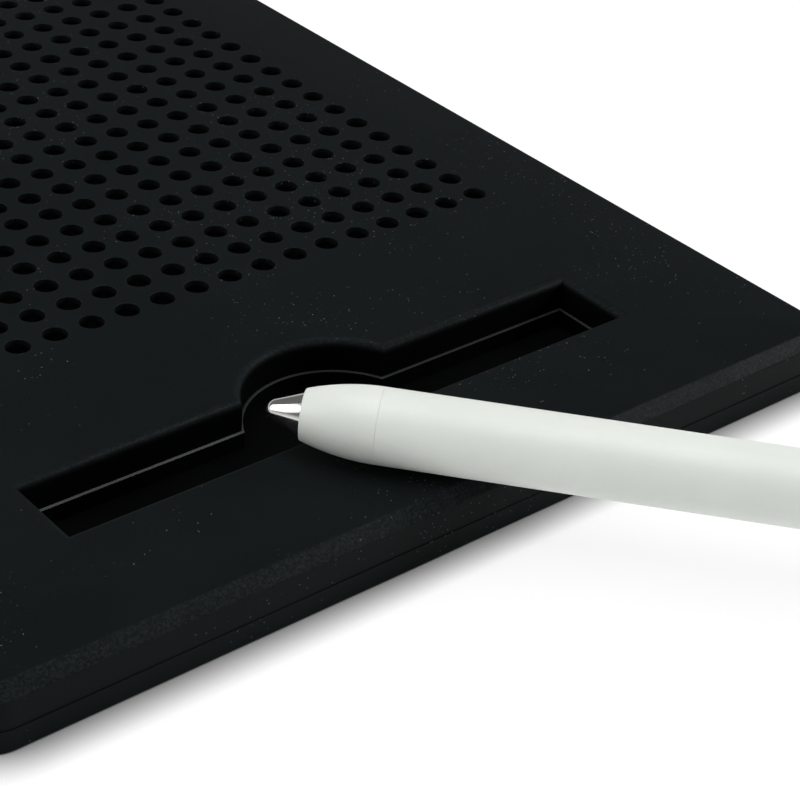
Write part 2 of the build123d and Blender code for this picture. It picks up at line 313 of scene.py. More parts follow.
def tile_rings():
    """The five rings of one tile, as (5, steps, 3): a square at the top, the lip's two circles, the
    wall's foot, and a square below. A point of the square lies on the same ray as its circle point, so
    its distance is half the pitch divided by the larger of |cos| and |sin|."""
    angle = np.arange(TILE_STEPS) * 2 * np.pi / TILE_STEPS
    ray = np.stack([np.cos(angle), np.sin(angle)], axis=1)
    square = PITCH / 2 / np.abs(ray).max(axis=1)
    circle = np.full(TILE_STEPS, HOLE_R)
    distance = np.stack([square, circle + LIP, circle, circle, square])
    height = np.array([TOP_Z, TOP_Z, TOP_Z - LIP, FIELD_UNDER_Z, FIELD_UNDER_Z])
    flat = ray[None] * distance[:, :, None]
    return np.dstack([flat, np.broadcast_to(height[:, None], distance.shape)])


def hole_centres():
    x = (np.arange(COLUMNS) - (COLUMNS - 1) / 2) * PITCH
    y = FIRST_ROW_Y + np.arange(ROWS) * PITCH
    return np.stack(np.meshgrid(x, y), axis=-1).reshape(-1, 2)


def field_patch():
    """One tile's faces, repeated by adding each hole's centre to its points."""
    tile_points, tile_faces = grid_patch(tile_rings())
    centres = np.column_stack([hole_centres(), np.zeros(ROWS * COLUMNS)])
    points = (tile_points[None] + centres[:, None]).reshape(-1, 3)
    shift = np.arange(len(centres))[:, None, None] * len(tile_points)
    return points, [(tile_faces[0][None] + shift).reshape(-1, 4)]


def field_border():
    """The line of tile corners round the whole field, anticlockwise from the lower right. One side of a
    tile has its points at half the pitch times the tangent of the ray's angle."""
    part = np.tan(np.linspace(-np.pi / 4, np.pi / 4, TILE_STEPS // 4 + 1))[:-1] * PITCH / 2
    along_x = ((np.arange(COLUMNS) - (COLUMNS - 1) / 2) * PITCH)[:, None] + part
    along_y = (FIRST_ROW_Y + np.arange(ROWS) * PITCH)[:, None] + part
    along_x, along_y = along_x.ravel(), along_y.ravel()
    edge_x = COLUMNS * PITCH / 2
    low_y, high_y = FIRST_ROW_Y - PITCH / 2, LAST_ROW_Y + PITCH / 2
    mirror_y = low_y + high_y - along_y
    return np.vstack([
        np.column_stack([np.full(len(along_y), edge_x), along_y]),
        np.column_stack([-along_x, np.full(len(along_x), high_y)]),
        np.column_stack([np.full(len(along_y), -edge_x), mirror_y]),
        np.column_stack([along_x, np.full(len(along_x), low_y)]),
    ])


print("holes:", len(hole_centres()), "border points:", len(field_border()))

# %% [markdown]
# The upper shell. Its section is a profile carried round the case: inside wall, lip, seam, outer wall,
# sloping rim. A second profile is carried round the slot, with a rounded rim where the finger feels it
# and a skirt below. Both edges of the sloping rim are softened by three short steps, because a dead sharp
# edge catches no light.


# %% Upper shell
TURN_STEPS = 3             # flats that make up a softened edge
RIM_STEPS = 8              # flats that make up the slot's rounded rim


def rounded_turn(corner, before, after, radius):
    """Points of a small curve that replaces a corner of a profile. It starts and ends radius away from
    the corner along both sides, and each point is a quadratic mix: (1-t)^2 start + 2t(1-t) corner +
    t^2 end."""
    corner, before, after = np.array(corner), np.array(before), np.array(after)
    start = corner + (before - corner) / np.linalg.norm(before - corner) * radius
    end = corner + (after - corner) / np.linalg.norm(after - corner) * radius
    t = np.linspace(0, 1, TURN_STEPS + 1)[:, None]
    return ((1 - t) ** 2 * start + 2 * t * (1 - t) * corner + t**2 * end).tolist()


def rim_profile():
    """Section of the upper shell at the case's side, as (grow, z)."""
    foot, shoulder, brow = (0, SEAM_Z + SEAM_CUT), (0, TOP_Z - BEVEL), (-BEVEL, TOP_Z)
    inner = (-BEVEL - 2 * BEVEL_R, TOP_Z)
    return (
        [(-WALL, PLATE_UNDER_Z), (-WALL, SEAM_Z), (-GROOVE, SEAM_Z), (-GROOVE, SEAM_Z + SEAM_CUT), foot]
        + rounded_turn(shoulder, foot, brow, BEVEL_R)
        + rounded_turn(brow, shoulder, inner, BEVEL_R)
    )


def slot_profile():
    """Section of the upper shell at the slot: a quarter circle at the rim, the wall, the skirt."""
    t = np.linspace(0, np.pi / 2, RIM_STEPS + 1)
    rim = np.stack([SLOT_EDGE_R * (1 - np.sin(t)), TOP_Z - SLOT_EDGE_R * (1 - np.cos(t))], axis=1)
    return rim.tolist() + [(0, LEDGE_Z), (SKIRT, LEDGE_Z), (SKIRT, PLATE_UNDER_Z)]


def screw_places():
    x = CASE_X / 2 - BOSS_INSET
    y = CASE_Y / 2 - BOSS_INSET
    return [(sx * x, sy * y) for sx in (-1, 1) for sy in (-1, 0, 1)] + [(0, -y), (0, y)]


def boss_patches():
    """A boss under the plate for each screw: closed end, bore, foot and outside."""
    foot = BOSS_R - BORE_R
    profile = [(-BORE_R, BORE_END_Z), (0, BORE_END_Z), (0, FLOOR_Z), (foot, FLOOR_Z), (foot, PLATE_UNDER_Z)]
    return [carried(profile, lambda grow, c=c: circle_outline(c, BORE_R + grow)) for c in screw_places()]


def upper_shell_patches():
    """The bead field, the two profiles, the flat faces that join them, and the bosses."""
    rim, slot = rim_profile(), slot_profile()
    border = field_border()
    under_loops = [case_outline(-WALL), slot_outline(SKIRT), pocket_outline(0)]
    under_loops += [circle_outline(c, BOSS_R) for c in screw_places()]
    return [
        field_patch(),
        carried(rim, case_outline),
        carried(slot, slot_outline),
        carried([(0, FIELD_UNDER_Z), (0, PLATE_UNDER_Z)], pocket_outline),
        flat_patch([case_outline(rim[-1][0]), slot_outline(slot[0][0]), border], TOP_Z),
        flat_patch([pocket_outline(0), border], FIELD_UNDER_Z, up=False),
        flat_patch(under_loops, PLATE_UNDER_Z, up=False),
    ] + boss_patches()


case_top = make_piece("case_top", upper_shell_patches(), "case", ["top_cover"])

# %% [markdown]
# The lower shell closes the case from below. From outside it shows as the band under the parting groove
# and, down in the slot, as a trough a little narrower than the slot above it. The step between them is
# the thin ledge all along the slot's back wall, where a highlight is painted.


# %% Lower shell
def lower_shell_patches():
    """Profiles as (grow, z) for the side with its tongue, the slot's trough, the fence and the screw
    sinks, and the flat faces that join them."""
    outside = [
        (-FOOT_CUT, 0), (0, FOOT_CUT), (0, SEAM_Z - SEAM_CUT),
        (-GROOVE, SEAM_Z - SEAM_CUT), (-GROOVE, SEAM_Z), (-TONGUE_OUT, SEAM_Z),
        (-TONGUE_OUT, TONGUE_TOP_Z), (-TONGUE_IN, TONGUE_TOP_Z), (-TONGUE_IN, FLOOR_Z),
    ]
    trough = [
        (SKIRT, FLOOR_Z), (SKIRT, LEDGE_Z), (-LEDGE + SOFT_EDGE, LEDGE_Z),
        (-LEDGE, LEDGE_Z - SOFT_EDGE), (-LEDGE, FLOOR_Z),
    ]
    fence = [(FENCE, FLOOR_Z), (FENCE, FENCE_TOP_Z), (0, FENCE_TOP_Z), (0, FLOOR_Z)]
    sink = [(0, FLOOR_Z), (0, SINK_END_Z), (SINK_R - BORE_R, SINK_START_Z), (SINK_R - BORE_R, 0)]
    floor_loops = [case_outline(-TONGUE_IN), slot_outline(SKIRT), pocket_outline(FENCE), pocket_outline(0)]
    floor_loops += [circle_outline(c, BORE_R) for c in screw_places()]
    sinks = [circle_outline(c, SINK_R) for c in screw_places()]
    return [
        carried(outside, case_outline),
        carried(trough, slot_outline),
        carried(fence, pocket_outline),
        flat_patch([case_outline(-FOOT_CUT)] + sinks, 0, up=False),
        flat_patch(floor_loops, FLOOR_Z),
        flat_patch([slot_outline(-LEDGE)], FLOOR_Z),
    ] + [carried(sink, lambda grow, c=c: circle_outline(c, BORE_R + grow)) for c in screw_places()]


case_back = make_piece("case_back", lower_shell_patches(), "case", ["back_cover"])

# %% [markdown]
# The beads. Each row is its own moving body, so each row is its own piece. A bead is seen only from
# above, through its hole, so its rings lie closer together near the top than below.


# %% Beads
BEAD_RINGS = 9
BEAD_STEPS = 14
BEAD_CROWDING = 1.35       # over one, so the rings lie closer together near the top
BEAD_CREASE = 80.0         # degrees; no edge of a bead is as sharp, so all of it is smooth


def bead_patch(centre):
    """A sphere. Ring number i has the polar angle pi (i / last)^BEAD_CROWDING."""
    polar = np.pi * np.linspace(0, 1, BEAD_RINGS) ** BEAD_CROWDING
    around = np.arange(BEAD_STEPS) * 2 * np.pi / BEAD_STEPS
    ring = np.sin(polar)[:, None]
    points = np.dstack([
        ring * np.cos(around),
        -ring * np.sin(around),
        np.broadcast_to(np.cos(polar)[:, None], (len(polar), len(around))),
    ])
    return grid_patch(points * BEAD_R + centre)


BEAD_Z = (first_low.z + first_high.z) / 2
bead_pieces = []
for row in range(ROWS):
    places = hole_centres()[row * COLUMNS:(row + 1) * COLUMNS]
    patches = [bead_patch((x, y, BEAD_Z)) for x, y in places]
    name = f"beads_{row + 1:02d}"
    node = f"bead_row_{row + 1:02d}"
    bead_pieces.append(make_piece(name, patches, node, [node], BEAD_CREASE))

# %% [markdown]
# The stylus. Every piece of it is turned on a lathe: half a section, given as distance along the axis
# and radius, goes round the axis, which is laid down from the tip towards the far end.

# %% Stylus
STYLUS_TIP = Vector((-17.3 * MM, SLOT_Y - 4.2 * MM, TOP_Z + 5.8 * MM))
STYLUS_TURN = np.radians(-49.2)
STYLUS_R = 5.5 * MM
STYLUS_STEPS = 96
STYLUS_CREASE = 35.0       # degrees; sharper edges of the stylus are shaded as edges

TIP_LENGTH = 5.3 * MM
TIP_R = 3.15 * MM          # the plated cone at its wide end
DOME_R = 1.7 * MM
DOME_STEPS = 13
SHANK_R = 2.3 * MM
SHANK_END = 10.3 * MM
NOSE_R = 3.7 * MM
NOSE_END = 16.2 * MM
NOSE_STEPS = 23
NOSE_FACE = 0.15 * MM      # the nose's front edge is softened over this length
SPIGOT_END = 25.2 * MM
MAGNET_BORE_R = 2.25 * MM
TUBE_R = 4.0 * MM
FIT = 0.05 * MM            # play between a stylus piece and the one that it sits in
SEAM_STEP = 0.04 * MM      # how far the nose lies under the barrel at the seam
CAP_START = 93.5 * MM
CAP_GROOVE = 0.5 * MM      # width and depth of the groove between the barrel and the end plug
PLUG_LENGTH = 5.0 * MM
END_R = 2.2 * MM
END_STEPS = 11
STYLUS_END = 100.0 * MM


def turned(profile):
    """A solid of revolution. Each (s, r) pair gives a circle of radius r about the axis, s from the tip:
    tip + s along + r (cos(a) side + sin(a) up)."""
    s, r = np.array(profile).T
    angle = np.arange(STYLUS_STEPS) * 2 * np.pi / STYLUS_STEPS
    along = np.array([np.cos(STYLUS_TURN), np.sin(STYLUS_TURN), 0])
    side = np.array([-np.sin(STYLUS_TURN), np.cos(STYLUS_TURN), 0])
    up = np.cross(along, side)
    ring = np.cos(angle)[:, None] * side + np.sin(angle)[:, None] * up
    points = np.array(STYLUS_TIP) + s[:, None, None] * along + r[:, None, None] * ring
    return grid_patch(points)


def softened(corners):
    """A section whose inner corners are all rounded by SOFT_EDGE."""
    rounded = []
    for before, corner, after in zip(corners, corners[1:], corners[2:]):
        rounded += rounded_turn(corner, before, after, SOFT_EDGE)
    return [tuple(corners[0])] + rounded + [tuple(corners[-1])]


def tip_profile():
    """A dome, then a cone that touches it. The cone leaves the dome where both slope alike: the sine of
    its slope is (R sqrt(L^2 - d^2) - run d) / L^2, with L the distance from the dome's centre to the
    cone's base, R the base's radius and d the dome's."""
    run = TIP_LENGTH - DOME_R
    reach = np.hypot(run, TIP_R)
    slope = (TIP_R * np.sqrt(reach**2 - DOME_R**2) - run * DOME_R) / reach**2
    polar = np.linspace(0, np.arccos(slope), DOME_STEPS + 1)
    dome = np.stack([DOME_R * (1 - np.cos(polar)), DOME_R * np.sin(polar)], axis=1).tolist()
    base = softened([dome[-1], (TIP_LENGTH, TIP_R), (TIP_LENGTH, SHANK_R)])
    return dome[:-1] + base + [(SHANK_END, SHANK_R), (SHANK_END, 0)]


def nose_profile():
    """The outside swells along an arc that touches the barrel's line, and ends in a shallow step that
    shows as the seam. With a rise h over a length L, the arc's radius is (L^2 + h^2) / 2h. Inside are
    the bores for the tip's shank and the magnet."""
    rise = STYLUS_R - NOSE_R
    length = NOSE_END - TIP_LENGTH
    arc_r = (length**2 + rise**2) / (2 * rise)
    s = np.linspace(TIP_LENGTH + NOSE_FACE, NOSE_END - SEAM_STEP, NOSE_STEPS + 1)
    r = STYLUS_R - arc_r + np.sqrt(arc_r**2 - (NOSE_END - s) ** 2)
    front = rounded_turn((TIP_LENGTH, NOSE_R), (TIP_LENGTH, SHANK_R), (s[0], r[0]), SOFT_EDGE)
    shank = SHANK_R + FIT
    spigot = TUBE_R - FIT
    return (
        [(TIP_LENGTH, shank)] + front + np.stack([s, r], axis=1).tolist()
        + [(NOSE_END, STYLUS_R - SEAM_STEP), (NOSE_END, spigot), (SPIGOT_END, spigot)]
        + [(SPIGOT_END, MAGNET_BORE_R), (SHANK_END, MAGNET_BORE_R), (SHANK_END, shank), (TIP_LENGTH, shank)]
    )


def barrel_profile():
    corners = [(NOSE_END, TUBE_R), (NOSE_END, STYLUS_R), (CAP_START, STYLUS_R), (CAP_START, TUBE_R)]
    return softened(corners) + [(NOSE_END, TUBE_R)]


def cap_profile():
    """A plug that ends in a groove, a short collar and a rounded edge."""
    start = CAP_START - PLUG_LENGTH
    collar = CAP_START + CAP_GROOVE
    plug = TUBE_R - FIT
    neck = STYLUS_R - CAP_GROOVE
    t = np.linspace(0, np.pi / 2, END_STEPS + 1)
    bend = np.stack([STYLUS_END - END_R * (1 - np.sin(t)), STYLUS_R - END_R * (1 - np.cos(t))], axis=1)
    return [
        (start, 0), (start, plug), (CAP_START, plug), (CAP_START, neck), (collar, neck), (collar, STYLUS_R),
    ] + bend.tolist() + [(STYLUS_END, 0)]


stylus_pieces = [
    make_piece(name, [turned(profile)], "stylus", [node], STYLUS_CREASE)
    for name, profile, slot, node in [
        ("tip_cone", tip_profile(), "tip_plating", "stylus_tip"),
        ("nose_collar", nose_profile(), "stylus_plastic", "stylus_nose"),
        ("grip_tube", barrel_profile(), "stylus_plastic", "stylus_barrel"),
        ("end_plug", cap_profile(), "stylus_plastic", "stylus_end_cap"),
    ]
]
tip_piece, *plastic_pieces = stylus_pieces

# %% [markdown]
# Finishes. Four patterns are node groups, each with its own inputs. The moulded grain and the sparse
# flecks of dust are used by more than one material. The rub mark and painted sheen on sloping edges and
# the painted shade in deep places are used by the case plastic alone. The shaders stay in the materials.
# All patterns read Object coordinates, in metres, so a scale of 1000 means one cell for each millimetre.


# %% Node helpers
def add_node(tree, kind, settings=None, **sockets):
    """Adds a node, sets its properties, and fills its named sockets. A socket name uses _ for a space,
    and i with a number is the socket at that place. A value that is itself a socket is linked."""
    made = tree.nodes.new(kind)
    for key, value in (settings or {}).items():
        setattr(made, key, value)
    for key, value in sockets.items():
        name = int(key[1:]) if key[0] == "i" and key[1:].isdigit() else key.replace("_", " ")
        connect(tree, value, made.inputs[name])
    return made


def connect(tree, value, socket):
    if isinstance(value, bpy.types.NodeSocket):
        tree.links.new(value, socket)
    else:
        socket.default_value = value


def new_group(name, inputs, outputs):
    """An empty node group with the given sockets, each as name: (type, default)."""
    group = bpy.data.node_groups.new(name, "ShaderNodeTree")
    for label, (kind, value) in inputs.items():
        socket = group.interface.new_socket(label, in_out="INPUT", socket_type=kind)
        if value is not None:
            socket.default_value = value
    for label in outputs:
        group.interface.new_socket(label, in_out="OUTPUT", socket_type="NodeSocketFloat")
    return group, add_node(group, "NodeGroupInput").outputs, add_node(group, "NodeGroupOutput").inputs


def math_node(tree, operation, a, b=0.0, clamp=False):
    settings = {"operation": operation, "use_clamp": clamp}
    return add_node(tree, "ShaderNodeMath", settings, i0=a, i1=b).outputs[0]


def remap(tree, value, low, high, to_low=0.0, to_high=1.0):
    """Value scaled from one range to another and held inside it. In between it follows the smooth step
    t^2 (3 - 2t), with t the share of the first range."""
    return add_node(
        tree, "ShaderNodeMapRange", {"interpolation_type": "SMOOTHSTEP"},
        Value=value, From_Min=low, From_Max=high, To_Min=to_low, To_Max=to_high,
    ).outputs[0]


def noise(tree, place, scale, detail, roughness):
    """The value of a Noise texture, about a half on average."""
    return add_node(
        tree, "ShaderNodeTexNoise", Vector=place, Scale=scale, Detail=detail, Roughness=roughness
    ).outputs[0]


VECTOR = "NodeSocketVector"
FLOAT = "NodeSocketFloat"


# %% Moulded grain
def build_grain():
    """Height: fine noise of the mould's etched face, over a slower unevenness. Patch: a slow mask that
    says where the face is a little duller."""
    group, given, out = new_group(
        "moulded_grain",
        {"Vector": (VECTOR, None), "Grain": (FLOAT, 3000.0), "Patch Size": (FLOAT, 60.0)},
        ["Height", "Patch"],
    )
    fine = noise(group, given["Vector"], given["Grain"], 3.0, 0.6)
    slow = noise(group, given["Vector"], given["Patch Size"], 4.0, 0.55)
    connect(group, fine, out["Height"])
    connect(group, remap(group, slow, 0.35, 0.65), out["Patch"])
    return group


def build_flecks():
    """Mask: tiny specks, one in some of the cells of a Voronoi pattern. A cell has a speck when its first
    random number is under the share, and the share itself follows a slow noise, so the specks gather in
    drifts. The cube of the second random number sets how bright the speck is."""
    group, given, out = new_group(
        "dust_flecks",
        {"Vector": (VECTOR, None), "Scale": (FLOAT, 900.0), "Share": (FLOAT, 0.1), "Spot": (FLOAT, 0.2),
         "Drift": (FLOAT, 50.0)},
        ["Mask"],
    )
    cells = add_node(group, "ShaderNodeTexVoronoi", Vector=given["Vector"], Scale=given["Scale"])
    chance = add_node(group, "ShaderNodeSeparateColor", Color=cells.outputs["Color"]).outputs
    drift = noise(group, given["Vector"], given["Drift"], 4.0, 0.6)
    gathered = remap(group, drift, 0.45, 0.72)
    share = math_node(group, "MULTIPLY", gathered, given["Share"])
    chosen = math_node(group, "LESS_THAN", chance[0], share)
    near = math_node(group, "LESS_THAN", cells.outputs["Distance"], given["Spot"])
    strength = math_node(group, "POWER", chance[1], 3.0)
    speck = math_node(group, "MULTIPLY", chosen, near)
    connect(group, math_node(group, "MULTIPLY", speck, strength), out["Mask"])
    return group


def build_rub_and_sheen():
    """Mask: one on faces that slope, such as bevels and rounded rims, broken up by noise. It stands for
    rubbing and for painted sheen. It reads how far the surface's normal is from both flat and upright:
    4 z^2 (1 - z^2) is one at 45 degrees."""
    group, given, out = new_group(
        "edge_rub_and_sheen",
        {"Vector": (VECTOR, None), "Scale": (FLOAT, 800.0), "Low": (FLOAT, 0.3), "High": (FLOAT, 0.7)},
        ["Mask"],
    )
    normal = add_node(group, "ShaderNodeNewGeometry").outputs["Normal"]
    z = add_node(group, "ShaderNodeSeparateXYZ", Vector=normal).outputs[2]
    square = math_node(group, "MULTIPLY", z, z)
    rest = math_node(group, "SUBTRACT", 1.0, square)
    slope = math_node(group, "MULTIPLY", rest, math_node(group, "MULTIPLY", square, 4.0))
    cloud = noise(group, given["Vector"], given["Scale"], 5.0, 0.65)
    broken = add_node(
        group, "ShaderNodeMapRange", Value=cloud, From_Min=given["Low"], From_Max=given["High"]
    ).outputs[0]
    connect(group, math_node(group, "MULTIPLY", slope, broken, clamp=True), out["Mask"])
    return group


def build_recess():
    """Mask of painted shade: nothing down to Start under the top face, then rising to one over the next
    Fade.
    It counts only further than Rim inside the case's sides, and above the foot, from half the floor's
    height. The depth is the top's height minus z. The distance inside is the smaller of half the case's
    size along x minus |x| and half its size along y minus |y|."""
    group, given, out = new_group(
        "recess_painted_shade",
        {"Vector": (VECTOR, None), "Start": (FLOAT, 0.6 * MM), "Fade": (FLOAT, 1.0 * MM),
         "Rim": (FLOAT, 3.0 * MM)},
        ["Mask"],
    )
    x, y, z = add_node(group, "ShaderNodeSeparateXYZ", Vector=given["Vector"]).outputs
    inside_x = math_node(group, "SUBTRACT", CASE_X / 2, math_node(group, "ABSOLUTE", x))
    inside_y = math_node(group, "SUBTRACT", CASE_Y / 2, math_node(group, "ABSOLUTE", y))
    inside = math_node(group, "GREATER_THAN", math_node(group, "MINIMUM", inside_x, inside_y), given["Rim"])
    above_foot = math_node(group, "GREATER_THAN", z, FLOOR_Z / 2)
    depth = math_node(group, "SUBTRACT", math_node(group, "SUBTRACT", TOP_Z, z), given["Start"])
    deep = math_node(group, "DIVIDE", depth, given["Fade"], clamp=True)
    both = math_node(group, "MULTIPLY", inside, above_foot)
    connect(group, math_node(group, "MULTIPLY", both, deep), out["Mask"])
    return group


GRAIN = build_grain()
FLECKS = build_flecks()
RUB_AND_SHEEN = build_rub_and_sheen()
RECESS_PAINTED_SHADE = build_recess()
print("effect groups:", [g.name for g in (GRAIN, FLECKS, RUB_AND_SHEEN, RECESS_PAINTED_SHADE)])


# %% Material helpers
def new_material(name):
    """A material with an empty tree. Returns it, the tree and its Object coordinates."""
    material = bpy.data.materials.new(name)
    material.use_nodes = True
    material.node_tree.nodes.clear()
    place = add_node(material.node_tree, "ShaderNodeTexCoord").outputs["Object"]
    return material, material.node_tree, place


def effect(tree, group, **sockets):
    """Places an effect group in a material with its own values."""
    return add_node(tree, "ShaderNodeGroup", {"node_tree": group}, **sockets).outputs


def mix(tree, mask, a, b):
    """Colour a where the mask is 0, colour b where it is 1. A Mix node's colour sockets are its inputs
    6 and 7 and its output 2."""
    made = add_node(tree, "ShaderNodeMix", {"data_type": "RGBA"}, i0=mask)
    connect(tree, a, made.inputs[6])
    connect(tree, b, made.inputs[7])
    return made.outputs[2]


def finish_with(tree, **sockets):
    """Puts a Principled shader with these sockets on the material's output."""
    shader = add_node(tree, "ShaderNodeBsdfPrincipled", **sockets)
    add_node(tree, "ShaderNodeOutputMaterial", Surface=shader.outputs[0])


def bump(tree, height, depth):
    return add_node(tree, "ShaderNodeBump", Height=height, Distance=depth, Strength=1.0).outputs[0]


# %% [markdown]
# Case plastic. It is black ABS from an etched mould: nearly black in itself, with a weak, wide sheen. The
# grain breaks the sheen up, pale dust sits in it here and there, and the sloping rims are painted a
# little lighter, part rubbing and part painted sheen. The holes and the slot get painted shade that
# deepens with depth, and a highlight is painted on the slot's ledge.


# %% Case plastic
LEDGE_BAND = 0.2 * MM      # a face counts as the ledge when it lies this near its height
# The painted highlight on the ledge is strongest left of PALE_END_X and weakest right of DULL_START_X.
PALE_END_X = -NOTCH_R - 1 * MM      # the ledge is palest left of here
DULL_START_X = -NOTCH_R + 4 * MM    # and least pale right of here
GRAIN_DEPTH = 0.03 * MM
MOULDED_BLACK = (0.0052, 0.0072, 0.0072, 1)
DULLER_BLACK = (0.0066, 0.0086, 0.0088, 1)
# lighter slopes: part rubbing, part painted sheen
RUBBED_EDGE_AND_SHEEN = (0.021, 0.024, 0.026, 1)
PALE_DUST = (0.13, 0.14, 0.14, 1)
# painted shade on faces deep in the holes and the slot
DEEP_PAINTED_SHADE = (0.0012, 0.0014, 0.0014, 1)
# painted highlight on the slot's ledge
PAINTED_LEDGE_HIGHLIGHT = (0.095, 0.10, 0.10, 1)


def ledge_highlight_mask(tree, place):
    """One on the upward face of the slot's ledge, where a highlight is painted, falling to 0.3 towards
    the right. It asks that the normal's z is over a half and that z lies within a band about the ledge,
    and multiplies the two answers by the fall along x."""
    x, _, z = add_node(tree, "ShaderNodeSeparateXYZ", Vector=place).outputs
    normal = add_node(tree, "ShaderNodeNewGeometry").outputs["Normal"]
    normal_z = add_node(tree, "ShaderNodeSeparateXYZ", Vector=normal).outputs[2]
    upward = math_node(tree, "GREATER_THAN", normal_z, 0.5)
    away = math_node(tree, "ABSOLUTE", math_node(tree, "SUBTRACT", z, LEDGE_Z))
    near = math_node(tree, "LESS_THAN", away, LEDGE_BAND)
    side = remap(tree, x, PALE_END_X, DULL_START_X, 1.0, 0.3)
    return math_node(tree, "MULTIPLY", math_node(tree, "MULTIPLY", upward, near), side)


def case_plastic():
    material, tree, place = new_material("case_satin_black")
    grain = effect(tree, GRAIN, Vector=place, Grain=3600.0, Patch_Size=45.0)
    dust = effect(tree, FLECKS, Vector=place, Scale=3000.0, Share=0.17, Spot=0.32, Drift=34.0)
    rub_and_sheen = effect(tree, RUB_AND_SHEEN, Vector=place, Scale=2600.0, Low=0.42, High=0.78)
    recess = effect(tree, RECESS_PAINTED_SHADE, Vector=place)
    body = mix(tree, grain["Patch"], MOULDED_BLACK, DULLER_BLACK)
    # slopes painted lighter: part rubbing, part painted sheen
    body = mix(tree, rub_and_sheen["Mask"], body, RUBBED_EDGE_AND_SHEEN)
    body = mix(tree, dust["Mask"], body, PALE_DUST)
    # painted shade in the holes and the slot, darker with depth
    body = mix(tree, recess["Mask"], body, DEEP_PAINTED_SHADE)
    # painted highlight on the slot's ledge, strongest at the left
    body = mix(tree, ledge_highlight_mask(tree, place), body, PAINTED_LEDGE_HIGHLIGHT)
    roughness = remap(tree, grain["Patch"], 0.0, 1.0, 0.46, 0.54)
    finish_with(
        tree, Base_Color=body, Roughness=roughness, Specular_IOR_Level=0.035,
        Normal=bump(tree, grain["Height"], GRAIN_DEPTH),
    )
    return material


CASE_PLASTIC = case_plastic()


# %% [markdown]
# Inner parts. The wells are much darker than the case's black, as painted shade, since little light
# reaches them. The sheet under the beads is a plainer, darker black.

# %% Inner plastic and liner
def inner_plastic(name, tone, roughness_low, roughness_high):
    material, tree, place = new_material(name)
    grain = effect(tree, GRAIN, Vector=place, Grain=2500.0, Patch_Size=80.0)
    worn = 1.4 * tone
    body = mix(tree, grain["Patch"], (tone, tone, tone, 1), (worn, worn, worn, 1))
    roughness = remap(tree, grain["Patch"], 0.0, 1.0, roughness_low, roughness_high)
    finish_with(
        tree, Base_Color=body, Roughness=roughness, Specular_IOR_Level=0.08,
        Normal=bump(tree, grain["Height"], GRAIN_DEPTH),
    )
    return material


# painted shade: the wells are much darker than the case's black
WELL_PAINTED_SHADE = inner_plastic("well_painted_shade_black", 0.0012, 0.5, 0.6)
LINER = inner_plastic("liner_rubber", 0.002, 0.75, 0.9)


# %% [markdown]
# Stylus plastic. White and satin, with a very faint green tint. Handling leaves it a little uneven in
# gloss, and a few specks of dust settle on it.

# %% Stylus plastic
STYLUS_WHITE = (0.80, 0.835, 0.785, 1)
DULLER_WHITE = (0.78, 0.815, 0.765, 1)
STYLUS_DUST = (0.45, 0.46, 0.44, 1)
STYLUS_GRAIN_DEPTH = 0.008 * MM


def stylus_plastic():
    material, tree, place = new_material("stylus_satin_white")
    grain = effect(tree, GRAIN, Vector=place, Grain=2200.0, Patch_Size=110.0)
    dust = effect(tree, FLECKS, Vector=place, Scale=260.0, Share=0.03, Spot=0.1)
    body = mix(tree, grain["Patch"], STYLUS_WHITE, DULLER_WHITE)
    body = mix(tree, dust["Mask"], body, STYLUS_DUST)
    roughness = remap(tree, grain["Patch"], 0.0, 1.0, 0.38, 0.46)
    finish_with(
        tree, Base_Color=body, Roughness=roughness, Specular_IOR_Level=0.4,
        Normal=bump(tree, grain["Height"], STYLUS_GRAIN_DEPTH),
    )
    return material


STYLUS_PLASTIC = stylus_plastic()


# %% [markdown]
# Plated and steel parts. The tip is turned and then plated, so very fine rings run round it. The beads
# are polished balls with faint scuffs from their wells. The screws are darker and duller.

# %% Metals
RING_DEPTH = 0.0015 * MM
SCUFF_DEPTH = 0.002 * MM


def turned_metal(name, tone, roughness_low, roughness_high, ring_size):
    """Polished metal with rings across the stylus's axis. The Mapping node turns Object coordinates so
    that their X runs along the axis."""
    material, tree, place = new_material(name)
    along = add_node(tree, "ShaderNodeMapping", Vector=place, Rotation=(0, 0, -STYLUS_TURN)).outputs[0]
    rings = add_node(
        tree, "ShaderNodeTexWave", Vector=along, Scale=1 / ring_size, Distortion=0.3, Detail=2.0
    )
    grain = effect(tree, GRAIN, Vector=place, Grain=1500.0, Patch_Size=300.0)
    body = mix(tree, grain["Patch"], tone, [0.94 * c for c in tone[:3]] + [1])
    roughness = remap(tree, grain["Patch"], 0.0, 1.0, roughness_low, roughness_high)
    normal = bump(tree, rings.outputs[1], RING_DEPTH)
    finish_with(tree, Base_Color=body, Metallic=1.0, Roughness=roughness, Normal=normal)
    return material


def scuffed_metal(name, tone, roughness_low, roughness_high):
    material, tree, place = new_material(name)
    grain = effect(tree, GRAIN, Vector=place, Grain=2600.0, Patch_Size=700.0)
    body = mix(tree, grain["Patch"], tone, [0.85 * c for c in tone[:3]] + [1])
    roughness = remap(tree, grain["Patch"], 0.0, 1.0, roughness_low, roughness_high)
    normal = bump(tree, grain["Height"], SCUFF_DEPTH)
    finish_with(tree, Base_Color=body, Metallic=1.0, Roughness=roughness, Normal=normal)
    return material


TIP_METAL = turned_metal("tip_chrome", (0.82, 0.81, 0.78, 1), 0.06, 0.12, 0.2 * MM)
MAGNET_METAL = turned_metal("magnet_nickel", (0.66, 0.64, 0.60, 1), 0.2, 0.3, 0.4 * MM)
BEAD_METAL = scuffed_metal("bead_steel", (0.58, 0.58, 0.59, 1), 0.12, 0.24)
SCREW_METAL = scuffed_metal("screw_dark_steel", (0.10, 0.10, 0.105, 1), 0.35, 0.5)


